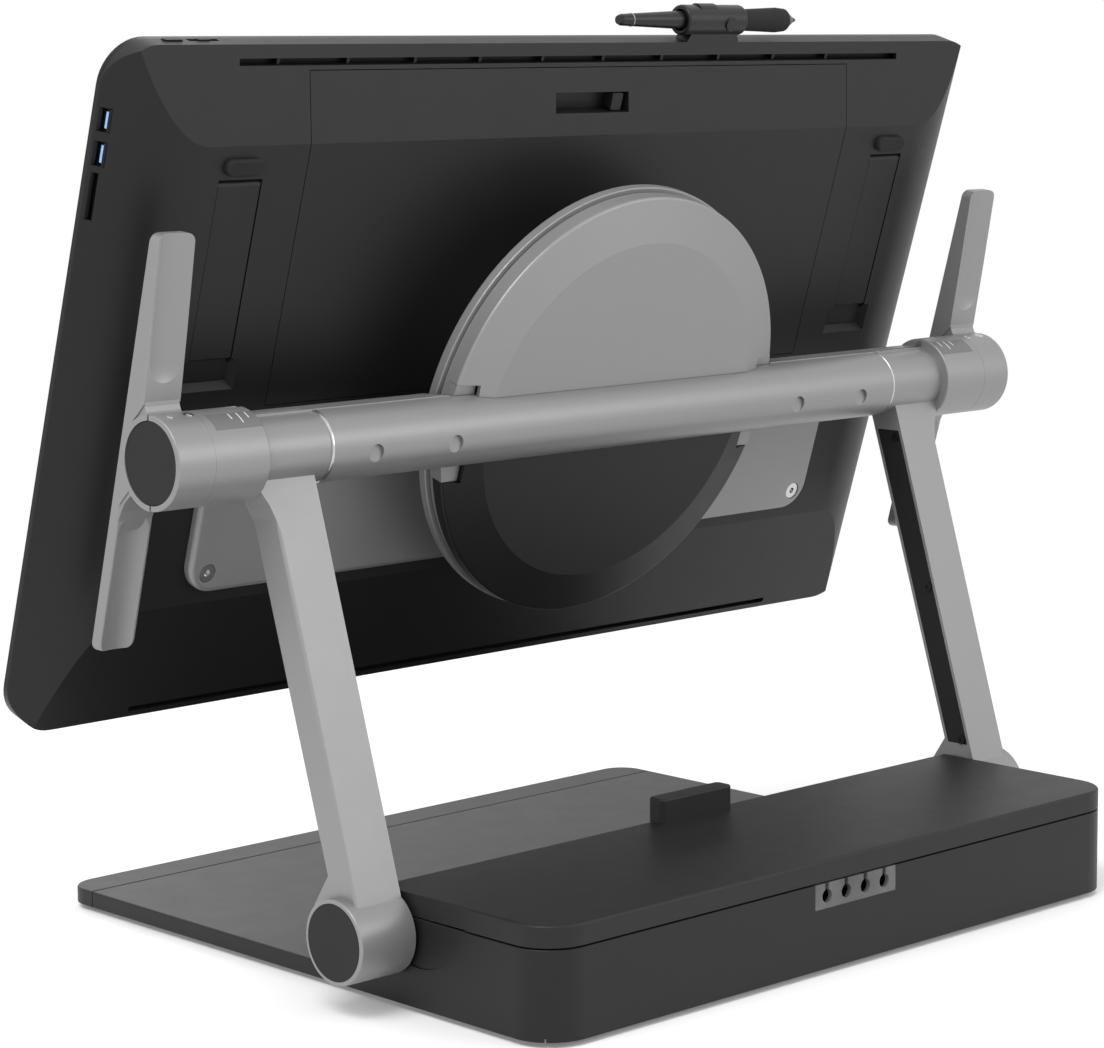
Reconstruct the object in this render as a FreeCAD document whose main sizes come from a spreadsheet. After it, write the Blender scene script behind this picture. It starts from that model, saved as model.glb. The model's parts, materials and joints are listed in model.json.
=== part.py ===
"""Pen display on a two-arm ergonomic stand, as a parametric FreeCAD document.

World frame: +Z up, X along the crossbar, the screen faces -Y. The origin is the
centre of the base's footprint, on the desk. All lengths are in millimetres.

The display and the hub are drawn in the panel frame: its origin is the centre of
the screen's front face, x runs to the user's left, y runs up the screen, and z
runs back from the screen, so a panel z is a depth behind the glass.
"""
import FreeCAD, Part
import math
import os
import Sketcher

V = FreeCAD.Vector
TINY = 1e-3

# ---------------------------------------------------------------- driving sizes
SIZES = {
    # screen and housing
    "screen_width": 677.0,
    "screen_height": 394.0,
    "screen_corner": 25.0,
    "glass_margin": 3.0,
    "glass_thick": 1.6,
    "frame_depth": 3.5,
    "back_depth": 31.0,
    "side_lip_depth": 10.0,
    "side_lip_inset": 6.5,
    "side_flat_inset": 56.0,
    "edge_depth": 15.0,
    "top_crease": 146.4,
    "bottom_crease": 122.0,
    "shell_wall": 2.4,
    # where the screen stands
    "screen_tilt": 17.4,
    "screen_y": -61.9,
    "screen_height_above_desk": 326.2,
    # crossbar, seen in the panel frame
    "bar_drop": 4.4,
    "bar_depth": 88.5,
    "bar_radius": 20.2,
    "bar_half": 228.0,
    "bar_bore": 8.0,
    "spigot_radius": 15.95,
    "collar_radius": 19.4,
    "collar_bore": 16.0,
    "head_end": 309.9,
    "sleeve_radius": 25.3,
    "sleeve_start": 274.0,
    "sleeve_end": 333.8,
    "sleeve_core": 22.2,
    "cap_start": 331.0,
    # hub
    "hub_drop": 2.0,
    "hub_radius": 129.5,
    "hub_flat_radius": 104.0,
    "hub_rim_depth": 87.5,
    "hub_flat_depth": 94.0,
    "ring_radius": 131.5,
    "ring_front": 69.5,
    "ring_back": 75.6,
    "housing_back": 79.5,
    "neck_radius": 78.0,
    "spindle_radius": 29.95,
    # mounting plate
    "plate_half": 252.0,
    "plate_low": -113.6,
    "plate_high": -12.0,
    "plate_thick": 6.0,
    # arms
    "pivot_y": 88.5,
    "pivot_z": 41.9,
    "barrel_radius": 23.4,
    "barrel_end": 272.5,
    "arm_inner": 236.0,
    "arm_outer": 267.0,
    "shaft_radius": 5.0,
    "bush_radius": 5.9,
    # levers
    "lever_inner": 310.0,
    # base
    "base_width": 468.0,
    "base_front": -212.4,
    "base_back": 212.4,
    "box_front": 79.0,
    "seam_y": -185.0,
    "foot_height": 3.0,
    "tray_top": 12.5,
    "box_top": 51.6,
    "lid_bottom": 52.4,
    "lid_top": 64.5,
    "box_corner": 25.0,
    "tray_corner": 18.0,
    "box_wall": 3.0,
    # fold-out legs
    "leg_inner": 244.2,
    "leg_outer": 273.2,
    "leg_low": 12.0,
    "leg_high": 127.5,
    # pen
    "pen_y": 209.2,
    "pen_depth": 10.0,
    "pen_tail": 17.0,
    "pen_tip": 168.0,
}

doc = FreeCAD.newDocument("PenDisplay")
sheet = doc.addObject("Spreadsheet::Sheet", "Sizes")
for row, (alias, number) in enumerate(SIZES.items(), start=1):
    sheet.set("A%d" % row, alias)
    sheet.set("B%d" % row, str(number))
    sheet.setAlias("B%d" % row, alias)
doc.recompute()


class Size:
    """A length taken from the sheet: its value now, and the expression that keeps it live."""

    def __init__(self, value, text):
        self.value = float(value)
        self.text = text

    def _with(self, other, sign, result, flip=False):
        other = size(other)
        left, right = (other, self) if flip else (self, other)
        return Size(result, "(%s %s %s)" % (left.text, sign, right.text))

    def __add__(self, other):
        return self._with(other, "+", self.value + size(other).value)

    def __radd__(self, other):
        return self + other

    def __sub__(self, other):
        return self._with(other, "-", self.value - size(other).value)

    def __rsub__(self, other):
        return self._with(other, "-", size(other).value - self.value, flip=True)

    def __mul__(self, other):
        return self._with(other, "*", self.value * size(other).value)

    def __rmul__(self, other):
        return self * other

    def __truediv__(self, other):
        return self._with(other, "/", self.value / size(other).value)

    def __neg__(self):
        return Size(-self.value, "(0 - %s)" % self.text)


def size(number):
    """Any number or Size as a Size."""
    if isinstance(number, Size):
        return number
    return Size(number, "%.6f" % number)


def get(alias):
    """The driving size with that alias."""
    return Size(SIZES[alias], "Sizes." + alias)


def bind(thing, prop, number):
    """Set a property to a size, bound to the sheet where the size comes from it."""
    number = size(number)
    if "Sizes." in number.text:
        thing.setExpression(prop, number.text)


# ---------------------------------------------------------------- frames
def frame(origin, angle):
    """Panel-style frame: x to -X, y up the tilted screen, z back from it."""
    up = V(0, math.sin(angle), math.cos(angle))
    back = V(0, math.cos(angle), -math.sin(angle))
    turn = FreeCAD.Rotation(V(-1, 0, 0), up, back, "ZXY")
    return FreeCAD.Placement(origin, turn)


TILT = math.radians(SIZES["screen_tilt"])
WORLD = FreeCAD.Placement()
PANEL = frame(V(0, SIZES["screen_y"], SIZES["screen_height_above_desk"]), TILT)
HUB = PANEL.multiply(FreeCAD.Placement(V(0, -SIZES["hub_drop"], 0), FreeCAD.Rotation()))
BAR_CENTRE = PANEL.multVec(V(0, -SIZES["bar_drop"], SIZES["bar_depth"]))
BAR_Y = BAR_CENTRE.y
BAR_Z = BAR_CENTRE.z

NODES = []


def keep(thing, label, place=WORLD):
    """Name a finished sub-part, put it in place and remember it for export."""
    thing.Label = label
    if place is not WORLD:
        thing.Placement = place
    NODES.append(thing)
    return thing


# ---------------------------------------------------------------- sketch and body helpers
PLANES = {"XY": "XY_Plane", "XZ": "XZ_Plane", "YZ": "YZ_Plane"}


class Piece:
    """A PartDesign body built from dimensioned sketches."""

    def __init__(self, name):
        self.body = doc.addObject("PartDesign::Body", name)
        self.count = 0

    def sketch(self, plane, start, outlines):
        """A sketch on an origin plane, moved along the plane's positive axis to start."""
        self.count += 1
        role = PLANES[plane]
        support = [f for f in self.body.Origin.OriginFeatures if f.Role == role][0]
        drawing = self.body.newObject("Sketcher::SketchObject", "%sSketch%d" % (self.body.Name, self.count))
        drawing.AttachmentSupport = [(support, "")]
        drawing.MapMode = "FlatFace"
        start = size(start)
        offset = -start if plane == "XZ" else start
        drawing.AttachmentOffset = FreeCAD.Placement(V(0, 0, offset.value), FreeCAD.Rotation())
        bind(drawing, "AttachmentOffset.Base.z", offset)
        for outline in outlines:
            if outline[0] == "circle":
                self._circle(drawing, *outline[1:])
            else:
                self._polygon(drawing, outline)
        return drawing

    @staticmethod
    def _circle(drawing, across, up, radius):
        across, up, radius = size(across), size(up), size(radius)
        made = drawing.addGeometry(Part.Circle(V(across.value, up.value, 0), V(0, 0, 1), radius.value))
        for kind, number in (("DistanceX", across), ("DistanceY", up)):
            spot = drawing.addConstraint(Sketcher.Constraint(kind, -1, 1, made, 3, number.value))
            bind(drawing, "Constraints[%d]" % spot, number)
        spot = drawing.addConstraint(Sketcher.Constraint("Radius", made, radius.value))
        bind(drawing, "Constraints[%d]" % spot, radius)

    @staticmethod
    def _polygon(drawing, corners):
        """Straight sides between corners; a corner may carry a third number, a bulge for its next side."""
        corners = [tuple(size(c) for c in corner[:2]) + tuple(corner[2:]) for corner in corners]
        edges = []
        for here, there in zip(corners, corners[1:] + corners[:1]):
            a = V(here[0].value, here[1].value, 0)
            b = V(there[0].value, there[1].value, 0)
            if len(here) > 2:
                side = (b - a).cross(V(0, 0, 1)).normalize() * here[2]
                arc = Part.Arc(a, (a + b) * 0.5 + side, b)
                edges.append((drawing.addGeometry(arc), (b - a).Length, here[2]))
            else:
                edges.append((drawing.addGeometry(Part.LineSegment(a, b)), 0, 0))
        for number, (edge, chord, bulge) in enumerate(edges):
            following = edges[(number + 1) % len(edges)]
            own_end = Piece._end_near(drawing, edge, corners[(number + 1) % len(corners)])
            next_start = Piece._end_near(drawing, following[0], corners[(number + 1) % len(corners)])
            drawing.addConstraint(Sketcher.Constraint("Coincident", edge, own_end, following[0], next_start))
            if chord:
                radius = (chord * chord / 4 + bulge * bulge) / (2 * abs(bulge))
                drawing.addConstraint(Sketcher.Constraint("Radius", edge, radius))
        for (edge, _, _), corner in zip(edges, corners):
            end = Piece._end_near(drawing, edge, corner)
            for kind, number in (("DistanceX", corner[0]), ("DistanceY", corner[1])):
                spot = drawing.addConstraint(Sketcher.Constraint(kind, -1, 1, edge, end, number.value))
                bind(drawing, "Constraints[%d]" % spot, number)

    @staticmethod
    def _end_near(drawing, edge, corner):
        """1 for the edge's start or 2 for its end, whichever is at the corner."""
        target = V(corner[0].value, corner[1].value, 0)
        return min((1, 2), key=lambda end: (drawing.getPoint(edge, end) - target).Length)

    def _feature(self, kind, drawing):
        self.count += 1
        made = self.body.newObject("PartDesign::" + kind, "%s%s%d" % (self.body.Name, kind, self.count))
        made.Profile = drawing
        drawing.Visibility = False
        return made

    def pad(self, plane, start, length, *outlines):
        """Add material from start, for length, along the plane's positive axis."""
        made = self._feature("Pad", self.sketch(plane, start, outlines))
        made.Length = size(length).value
        bind(made, "Length", length)
        made.Reversed = plane == "XZ"
        doc.recompute()
        return self

    def cut(self, plane, start, length, *outlines):
        """Remove material from start, for length, along the plane's positive axis."""
        before = self.body.Shape.Volume
        made = self._feature("Pocket", self.sketch(plane, start, outlines))
        made.Length = size(length).value
        bind(made, "Length", length)
        made.Reversed = plane != "XZ"
        doc.recompute()
        if self.body.Shape.Volume > before - TINY:
            raise RuntimeError("%s: a pocket removed nothing" % self.body.Name)
        return self

    def revolve(self, outline):
        """Turn an outline drawn in the XZ plane about the body's Z axis."""
        made = self._feature("Revolution", self.sketch("XZ", 0, [outline]))
        axis = [f for f in self.body.Origin.OriginFeatures if f.Role == "Z_Axis"][0]
        made.ReferenceAxis = (axis, [""])
        made.Angle = 360.0
        doc.recompute()
        return self

    def round(self, radius, wanted):
        """Fillet the edges that wanted(edge) picks from the body's present shape."""
        self._dress("Fillet", "Radius", radius, wanted)
        return self

    def bevel(self, width, wanted):
        """Chamfer the edges that wanted(edge) picks from the body's present shape."""
        self._dress("Chamfer", "Size", width, wanted)
        return self

    def _dress(self, kind, prop, number, wanted):
        self.count += 1
        tip = self.body.Tip
        names = ["Edge%d" % n for n, e in enumerate(tip.Shape.Edges, start=1) if wanted(e)]
        if not names:
            raise RuntimeError("%s: no edges for a %s" % (self.body.Name, kind))
        made = self.body.newObject("PartDesign::" + kind, "%s%s%d" % (self.body.Name, kind, self.count))
        made.Base = (tip, names)
        setattr(made, prop, size(number).value)
        bind(made, prop, number)
        doc.recompute()

    def done(self, label, place=WORLD):
        return keep(self.body, label, place)


def rect(low_x, low_y, high_x, high_y):
    """A rectangle's corners."""
    return [(low_x, low_y), (high_x, low_y), (high_x, high_y), (low_x, high_y)]


def back_rounded(half, low_y, high_y, radius):
    """A rectangle across X whose two far corners are round."""
    bow = (1 - math.cos(math.pi / 4)) * size(radius).value
    return [
        (-half, low_y),
        (half, low_y),
        (half, high_y - radius, bow),
        (half - radius, high_y),
        (-half + radius, high_y, bow),
        (-half, high_y - radius),
    ]


def middle(edge):
    return edge.valueAt((edge.FirstParameter + edge.LastParameter) / 2)


def along(axis, where=None):
    """A test for straight edges along an axis, with an optional test on the edge's middle."""

    def wanted(edge):
        if edge.Curve.TypeId != "Part::GeomLine":
            return False
        run = edge.Vertexes[-1].Point - edge.Vertexes[0].Point
        if abs(abs(getattr(run, axis)) - run.Length) > TINY:
            return False
        return where is None or where(middle(edge))

    return wanted


def at_height(level, axis="z", where=None):
    """A test for edges that lie at one level of an axis."""

    def wanted(edge):
        ends = [getattr(v.Point, axis) for v in edge.Vertexes] + [getattr(middle(edge), axis)]
        if max(abs(e - level) for e in ends) > TINY:
            return False
        return where is None or where(middle(edge))

    return wanted


# ---------------------------------------------------------------- primitive helpers
def block(name, low, high):
    """A Part box between two corners."""
    made = doc.addObject("Part::Box", name)
    low = [size(n) for n in low]
    high = [size(n) for n in high]
    made.Placement.Base = V(*[n.value for n in low])
    for prop, a, b in zip(("Length", "Width", "Height"), low, high):
        setattr(made, prop, b.value - a.value)
        bind(made, prop, b - a)
    for axis, number in zip("xyz", low):
        bind(made, "Placement.Base." + axis, number)
    return made


AXES = {
    "x": FreeCAD.Rotation(V(0, 1, 0), 90),
    "y": FreeCAD.Rotation(V(1, 0, 0), -90),
    "z": FreeCAD.Rotation(),
}


def rod(name, axis, base, radius, length, tip_radius=None):
    """A Part cylinder, or a cone where tip_radius is given, from base along +axis."""
    made = doc.addObject("Part::Cylinder" if tip_radius is None else "Part::Cone", name)
    made.Placement = FreeCAD.Placement(V(*[size(n).value for n in base]), AXES[axis])
    for letter, number in zip("xyz", base):
        bind(made, "Placement.Base." + letter, number)
    if tip_radius is None:
        made.Radius = size(radius).value
        bind(made, "Radius", radius)
    else:
        made.Radius1 = size(radius).value
        made.Radius2 = size(tip_radius).value
        bind(made, "Radius1", radius)
        bind(made, "Radius2", tip_radius)
    made.Height = size(length).value
    bind(made, "Height", length)
    return made


def fuse(name, pieces):
    """Pieces joined, or kept apart as one group where they don't touch."""
    made = doc.addObject("Part::MultiFuse", name)
    made.Shapes = pieces
    return made


def minus(name, base, *tools):
    """Base with tools cut away."""
    made = doc.addObject("Part::Cut", name)
    made.Base = base
    made.Tool = tools[0] if len(tools) == 1 else fuse(name + "Tools", list(tools))
    doc.recompute()
    if made.Shape.Volume > base.Shape.Volume - TINY:
        raise RuntimeError("%s: a cut removed nothing" % name)
    return made


def common(name, a, b):
    made = doc.addObject("Part::Common", name)
    made.Base = a
    made.Tool = b
    return made


SIDES = (("right", 1), ("left", -1))  # the user's right is +X


def placed(name, things, place=WORLD):
    """Things gathered and moved together into another frame, as a cutting tool or a group."""
    made = doc.addObject("Part::Compound", name)
    made.Links = things
    made.Placement = place
    return made


def meet(name, *things):
    """What several solids have in common."""
    made = doc.addObject("Part::MultiCommon", name)
    made.Shapes = list(things)
    doc.recompute()
    return made


def soften(name, base, radius, wanted, kind="Fillet"):
    """Round or bevel the edges that wanted(edge) picks."""
    doc.recompute()
    made = doc.addObject("Part::" + kind, name)
    made.Base = base
    made.Edges = [(n, radius, radius) for n, edge in enumerate(base.Shape.Edges, start=1) if wanted(edge)]
    if not made.Edges:
        raise RuntimeError("%s: no edges to soften" % name)
    doc.recompute()
    return made


def span(sign, inner, outer):
    """The low and high X of a stretch from inner to outer on one side."""
    return (size(inner), size(outer)) if sign > 0 else (-size(outer), -size(inner))


def slab(name, sign, inner, outer, low, high):
    """A box from inner to outer on one side, between two (y, z) corners."""
    near, far = span(sign, inner, outer)
    return block(name, (near, low[0], low[1]), (far, high[0], high[1]))


def round_bar(name, sign, inner, outer, centre, radius):
    """A cylinder along X from inner to outer on one side, about a (y, z) centre."""
    near, far = span(sign, inner, outer)
    return rod(name, "x", (near, centre[0], centre[1]), radius, far - near)


GAP = 0.05  # radial running clearance
PIVOT = (get("pivot_y"), get("pivot_z"))
BAR = (BAR_Y, BAR_Z)
FLAT_LOW = (BAR_Y - 14.0, BAR_Z)  # the flat strip along the top of the bar
FLAT_HIGH = (BAR_Y + 3.6, BAR_Z + 20.3)


# ---------------------------------------------------------------- base
FEET = [(-205, -160), (205, -160), (0, 0), (-205, 20), (205, 20), (-190, 185), (190, 185)]


def build_base():
    half = get("base_width") / 2
    floor = get("foot_height")
    front = get("base_front")
    seam = get("seam_y")
    box_front = get("box_front")
    back = get("base_back")
    wall = get("box_wall")
    plate_top = floor + 2
    plate_half = half - 6

    strip = Piece("FrontStrip")
    strip.pad("XY", floor, get("tray_top") - floor, rect(-half, front, half, seam - 0.2))
    strip.round(get("tray_corner"), along("z", lambda p: p.y < -200))
    strip.round(1.4, at_height(SIZES["tray_top"]))
    strip.done("tray_front_strip")

    tray = Piece("Tray")
    tray.pad("XY", floor, get("tray_top") - floor, rect(-half, seam, half, box_front))
    tray.cut("XY", floor, 2, rect(-plate_half - 0.4, seam + 5, plate_half + 0.4, box_front))
    tray.round(1.4, along("y", lambda p: p.z > 12))
    tray.bevel(0.5, along("x", lambda p: p.z > 12 and p.y < -180))
    tray.done("base_tray")

    plate = Piece("BasePlate")
    plate.pad("XY", floor, 2, rect(-plate_half, seam + 5.4, plate_half, back - 9))
    plate.round(22, along("z", lambda p: p.y > 150))
    plate.done("base_plate")

    box = Piece("StorageBox")
    corner = get("box_corner")
    box.pad("XY", floor, get("box_top") - floor, back_rounded(half, box_front, back, corner))
    room = back_rounded(half - wall, box_front + 2.2, back - wall, corner - wall)
    box.cut("XY", floor + 5, get("box_top") - floor - 5, room)
    box.cut("XY", floor, 2, rect(-plate_half - 0.4, box_front, plate_half + 0.4, back - 8.6))
    box.cut("XY", 50.5, 1.2, rect(-half, box_front, half, box_front + 5))
    for side, sign in SIDES:
        low = half - 1 if sign > 0 else -half
        box.cut("YZ", low, 1, ("circle", 112.5, 63, 38))
        low = half - wall if sign > 0 else -half
        box.cut("YZ", low, wall, ("circle",) + PIVOT + (get("bush_radius") + GAP,))
    box.cut("XZ", back - wall, wall, rect(-33.5, 37.1, 33.5, get("box_top")))
    box.bevel(0.4, at_height(SIZES["box_top"], where=lambda p: p.y > 90))
    posts = []
    for side, sign in SIDES:
        post = slab("HingePost" + side, sign, 212, 217, (box_front + 0.6, 47.5), (box_front + 4.2, 57.2))
        knuckle = round_bar("HingeKnuckle" + side, sign, 212, 217, (82.2, 57.2), 2.6)
        posts += [post, knuckle]
    joined = fuse("BoxWithPosts", [box.body] + posts)
    pin_holes = []
    for side, sign in SIDES:
        pin_holes.append(round_bar("BoxPinHole" + side, sign, 211, 218, (82.2, 57.2), 1.5 + GAP))
    keep(minus("BoxDone", joined, *pin_holes), "storage_box")

    port = Piece("CablePort")
    port.pad("XZ", back - wall, wall - 0.2, rect(-33.4, 37.2, 33.4, get("box_top") - 0.1))
    for x in (-23.7, -7.9, 7.9, 23.7):
        port.cut("XZ", back - wall, wall, ("circle", x, 44.2, 3.9))
        port.cut("XZ", back - wall, wall, rect(x - 1.5, 46.5, x + 1.5, get("box_top") - 0.1))
    port.done("cable_port")

    feet = []
    for number, (x, y) in enumerate(FEET):
        feet.append(rod("Foot%d" % number, "z", (x, y, 0), 14, floor))
    keep(placed("Feet", feet), "rubber_feet")

    brackets = []
    bushes = []
    pins = []
    for side, sign in SIDES:
        cheek = slab("Cheek" + side, sign, 225, 230.9, (82, 8.1), (118, 50))
        hole = round_bar("CheekHole" + side, sign, 224, 232, PIVOT, get("bush_radius") + GAP)
        brackets.append(minus("Bracket" + side, cheek, hole))
        ring = round_bar("BushRing" + side, sign, 225, 234, PIVOT, get("bush_radius"))
        bore = round_bar("BushBore" + side, sign, 224, 235, PIVOT, get("shaft_radius") + GAP)
        bushes.append(minus("Bush" + side, ring, bore))
        pins.append(round_bar("Pin" + side, sign, 206, 217, (82.2, 57.2), 1.5))
    keep(placed("Brackets", brackets), "pivot_brackets")
    keep(placed("Bushes", bushes), "pivot_bushes")
    keep(placed("Pins", pins), "lid_hinge_pins")


def build_lid():
    half = get("base_width") / 2
    low = get("lid_bottom")
    top = get("lid_top")
    front = get("box_front")
    back = get("base_back")
    wall = get("box_wall")
    lid = Piece("Lid")
    corner = get("box_corner")
    lid.pad("XY", low, top - low, back_rounded(half, front, back, corner))
    lid.round(1.6, at_height(SIZES["lid_top"]))
    room = back_rounded(half - wall, front + wall, back - wall, corner - wall)
    lid.cut("XY", low, top - low - 2.5, room)
    for side, sign in SIDES:
        start = half - 1 if sign > 0 else -half
        lid.cut("YZ", start, 1, ("circle", 112.5, 63, 38))
    lid.bevel(0.4, at_height(SIZES["lid_bottom"], where=lambda p: p.y > 90 and abs(p.x) > 100 or p.y > 212))
    notches = []
    ears = []
    holes = []
    for side, sign in SIDES:
        notches.append(slab("LidNotch" + side, sign, 211.6, 217.4, (front - 1, low - 1), (front + 6.6, 60.8)))
        ears.append(slab("LidEar" + side, sign, 206, 211.5, (front + 0.2, 53.6), (front + 6.2, 63)))
        holes.append(round_bar("LidPinHole" + side, sign, 205, 212.5, (82.2, 57.2), 1.5 + GAP))
    notched = minus("LidNotched", lid.body, *notches)
    keep(minus("LidDone", fuse("LidWithEars", [notched] + ears), *holes), "storage_lid")

    stop = Piece("LidBlock")
    stop.pad("XY", top, 14.5, rect(-29, front - 1.5, 29, front + 11.5))
    stop.round(3.5, along("z"))
    stop.round(1.2, at_height(SIZES["lid_top"] + 14.5))
    stop.done("lid_block")


# ---------------------------------------------------------------- arms
def arm_front(z):
    """Y of an arm's front face at a height."""
    return 100.4 - 0.310 * z


def arm_rear(z):
    """Y of an arm's rear face at a height."""
    return 119.7 - 0.301 * z


def arm_outline(margin, low, high):
    """The stretch of an arm between two heights, drawn in by a margin from both faces."""
    return [
        (arm_rear(low) - margin, low),
        (arm_rear(high) - margin, high),
        (arm_front(high) + margin, high),
        (arm_front(low) + margin, low),
    ]


COVER_SCREWS = [(arm_rear(z) - 5.8, z) for z in (74.8, 168.9, 262.0)]


def build_arm(side, sign):
    inner = get("arm_inner")
    outer = get("arm_outer")
    flare = outer + 7.0
    near, far = span(sign, inner, outer)

    limb = Piece("ArmLimb" + side)
    outline = [
        (arm_rear(34), 34),
        (arm_rear(284), 284),
        (arm_front(284), 284),
        (arm_front(74), 74),
        (66.8, 58),
        (get("pivot_y") - get("barrel_radius"), get("pivot_z")),
        (88.5, 30),
    ]
    limb.pad("YZ", near, far - near, outline)
    limb.round(1.6, lambda e: e.Length > 60 and abs(middle(e).x) > SIZES["arm_outer"] - 1)
    near, far = span(sign, inner + 20, flare)
    wide = Piece("ArmWide" + side)
    wide.pad("YZ", near, far - near, arm_outline(0, 250, 284))
    wedge = Piece("ArmWedge" + side)
    edge = [
        (inner + 20, 254),
        (outer - 1.6, 254),
        (outer + 0.4, 262),
        (outer + 2.6, 269),
        (flare, 277),
        (flare, 290),
        (inner + 20, 290),
    ]
    wedge.pad("XZ", -10, 80, [(size(x) * sign, z) for x, z in edge])
    shoulder = meet("ArmShoulder" + side, wide.body, wedge.body)

    barrel = round_bar("Barrel" + side, sign, inner - 0.5, get("barrel_end"), PIVOT, get("barrel_radius"))
    barrel = soften("BarrelSoft" + side, barrel, 1.0, lambda e: abs(middle(e).x) > 272)
    collar = round_bar("Collar" + side, sign, 228.3, 274.5, BAR, get("collar_radius"))
    head = round_bar("Head" + side, sign, get("sleeve_start"), get("head_end"), BAR, get("sleeve_radius"))
    head = soften("HeadSoft" + side, head, 1.2, lambda e: abs(middle(e).x) < 274.1)
    pad = slab("HeadPad" + side, sign, 228.3, 274.5, FLAT_LOW, FLAT_HIGH)
    body = fuse("ArmBody" + side, [limb.body, shoulder, barrel, collar, head, pad])

    channel = Piece("ArmChannel" + side)
    low, high = span(sign, inner - 1, outer - 4)
    channel.pad("YZ", low, high - low, arm_outline(2.2, 72, 266))
    bosses = []
    for number, centre in enumerate(COVER_SCREWS):
        bosses.append(round_bar("Boss%s%d" % (side, number), sign, 238.7, outer - 3, centre, 3.6))
    hollow = minus("ArmHollow" + side, channel.body, *bosses)
    tools = [
        hollow,
        round_bar("HeadBore" + side, sign, 228, 311, BAR, get("collar_bore")),
        round_bar("HeadBushSeat" + side, sign, 288, 311, BAR, 18 + GAP),
        round_bar("ShaftBore" + side, sign, 235, 269, PIVOT, get("shaft_radius") + GAP),
        round_bar("SpringRoom" + side, sign, 240, 270.4, PIVOT, 18.5),
        round_bar("CapSeat" + side, sign, 270.3, 273, PIVOT, 21),
        slab("TopSlot" + side, sign, 230, 285, (BAR_Y - 3.4, BAR_Z + 17.5), (BAR_Y + 2.2, BAR_Z + 30)),
    ]
    for number, centre in enumerate(COVER_SCREWS):
        tools.append(round_bar("BossBore%s%d" % (side, number), sign, 238, 250, centre, 1.5))
    keep(minus("Arm" + side, body, *tools), "arm_" + side)

    cover = Piece("ArmCover" + side)
    low, high = span(sign, inner, inner + 2.5)
    cover.pad("YZ", low, high - low, arm_outline(2.4, 72.3, 265.7))
    for centre in COVER_SCREWS:
        cover.cut("YZ", low, high - low, ("circle",) + centre + (1.6,))
    cover.done("arm_cover_" + side)


def build_arm_details():
    screws = []
    caps = []
    springs = []
    bushes = []
    for side, sign in SIDES:
        for number, centre in enumerate(COVER_SCREWS):
            name = "%s%d" % (side, number)
            head = round_bar("ScrewHead" + name, sign, 234.9, 235.9, centre, 2.9)
            shank = round_bar("ScrewShank" + name, sign, 235.5, 247, centre, 1.4)
            socket = round_bar("ScrewSocket" + name, sign, 234, 235.5, centre, 1.3)
            screws.append(minus("CoverScrew" + name, fuse("ScrewSolid" + name, [head, shank]), socket))
        caps.append(round_bar("Cap" + side, sign, 270.5, 272.8, PIVOT, 20.9))
        case = round_bar("SpringCase" + side, sign, 240.2, 268.5, PIVOT, 17.5)
        hole = round_bar("SpringHole" + side, sign, 239, 270, PIVOT, get("shaft_radius") + 0.5)
        springs.append(minus("Spring" + side, case, hole))
        ring = round_bar("TiltRing" + side, sign, 289, 309.5, BAR, 18)
        bore = round_bar("TiltBore" + side, sign, 288, 311, BAR, get("collar_bore"))
        bushes.append(minus("TiltBush" + side, ring, bore))
    keep(placed("CoverScrews", screws), "arm_cover_screws")
    keep(placed("PivotCaps", caps), "pivot_caps")
    keep(placed("Springs", springs), "counterbalance_springs")
    keep(placed("TiltBushes", bushes), "tilt_bushes")
    reach = size(268.8)
    keep(rod("Shaft", "x", (-reach, PIVOT[0], PIVOT[1]), get("shaft_radius"), 2 * reach), "pivot_shaft")


# ---------------------------------------------------------------- crossbar and its ends
PLUG_PLACES = (-197.0, -139.5, 139.5, 197.0)


def build_crossbar():
    half = get("bar_half")
    tube = rod("TubeOuter", "x", (-half, BAR_Y, BAR_Z), get("bar_radius"), 2 * half)
    tube = soften("TubeRims", tube, 1.0, lambda e: abs(abs(middle(e).x) - SIZES["bar_half"]) < TINY, "Chamfer")
    flats = [slab("TubeTop" + side, sign, 131, half, FLAT_LOW, FLAT_HIGH) for side, sign in SIDES]
    reach = get("cap_start")
    axle = rod("TubeAxle", "x", (-reach, BAR_Y, BAR_Z), get("spigot_radius"), 2 * reach)
    bore = rod("TubeBore", "x", (-340, BAR_Y, BAR_Z), get("bar_bore"), 680)
    hub_side = block("TubeFlat", (-134, -40, 60), (134, 40, get("housing_back") + 0.1))
    seats = [rod("PlugSeat%d" % n, "y", (x, BAR_Y + 14, BAR_Z - 5), 5, 10) for n, x in enumerate(PLUG_PLACES)]
    tools = [bore, placed("TubeFlatPlaced", [hub_side], PANEL)] + seats
    keep(minus("Crossbar", fuse("TubeSolid", [tube, axle] + flats), *tools), "crossbar_tube")
    plugs = [rod("Plug%d" % n, "y", (x, BAR_Y + 14.2, BAR_Z - 5), 4.9, 3.6) for n, x in enumerate(PLUG_PLACES)]
    keep(placed("Plugs", plugs), "tube_plugs")


END_SCREWS = (313.5, 326.0)
DISH_RADIUS = 26.0
DISH_DEPTH = 2.0


def dish(name, x, far, near):
    """A shallow hollow along a lever's rear face between two (y, z) points, round at the near end."""
    run = V(0, near[0] - far[0], near[1] - far[1])
    rear = V(0, abs(run.z), -abs(run.y)).normalize()
    start = V(x, *far) + rear * (DISH_RADIUS - DISH_DEPTH)
    groove = doc.addObject("Part::Cylinder", name)
    groove.Radius = DISH_RADIUS
    groove.Height = run.Length
    groove.Placement = FreeCAD.Placement(start, FreeCAD.Rotation(V(0, 0, 1), run))
    end = doc.addObject("Part::Sphere", name + "End")
    end.Radius = DISH_RADIUS
    end.Placement.Base = start + run
    return [groove, end]


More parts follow.
